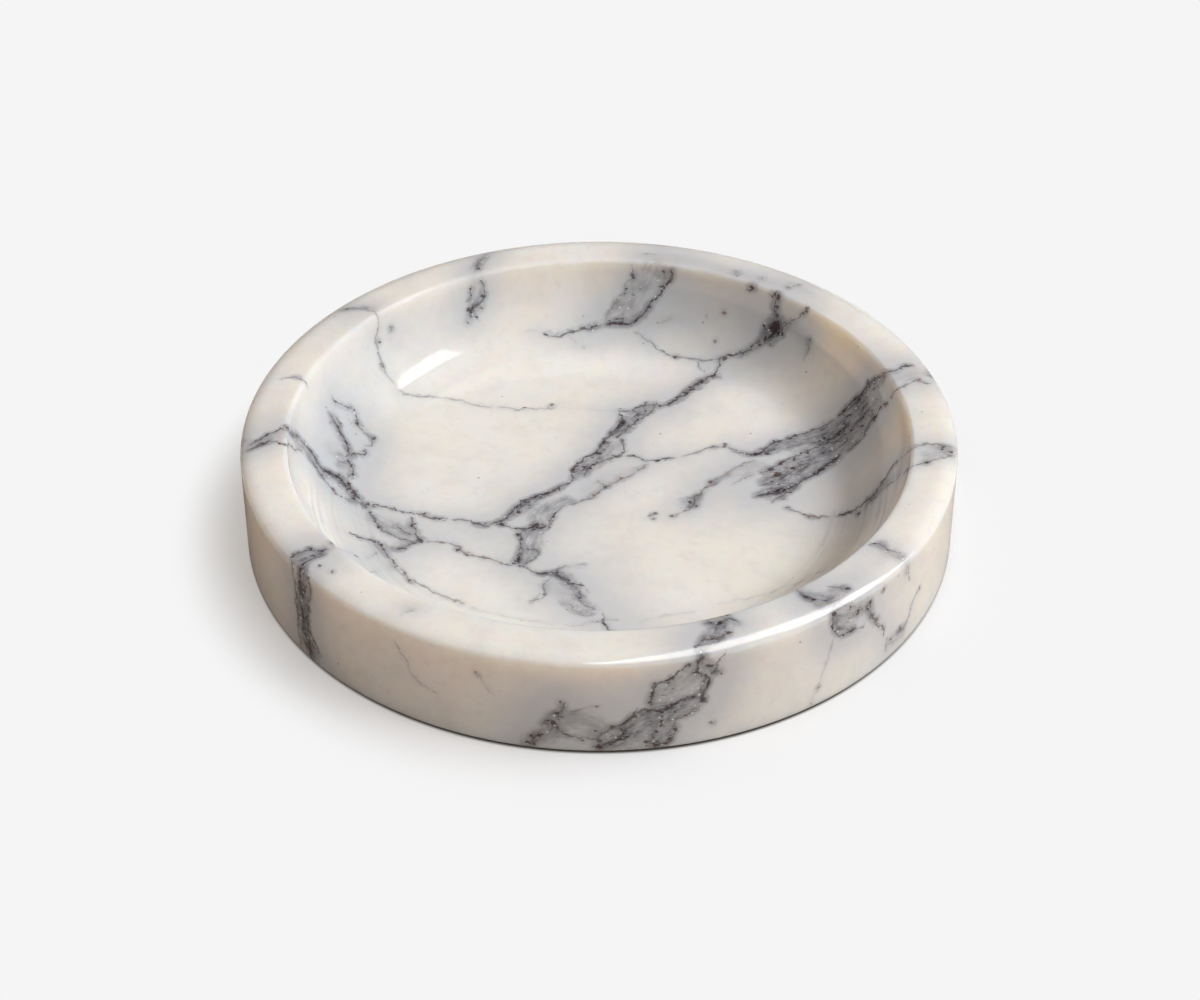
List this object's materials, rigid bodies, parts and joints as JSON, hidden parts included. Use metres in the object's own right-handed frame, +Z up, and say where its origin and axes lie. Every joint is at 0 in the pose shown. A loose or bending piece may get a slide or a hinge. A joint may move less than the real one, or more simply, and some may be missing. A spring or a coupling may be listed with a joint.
{
  "type": "ring dish",
  "caption": "Shallow round stone dish with a broad flat rim and a smooth bowl for rings, on thin protective pads.",
  "frame": {"origin": "middle of the dish, on the surface that its pads stand on", "axes": "+Z up along the turning axis; the picture was taken from the -Y side"},
  "size_m": [0.127, 0.127, 0.02],
  "materials": {
    "marble": "polished cream marble with grey and purple veins",
    "pad": "matt thin foam rubber"
  },
  "bodies": {
    "root": {"dish": "marble", "pad_1": "pad", "pad_2": "pad", "pad_3": "pad", "pad_4": "pad"}
  },
  "joints": []
}
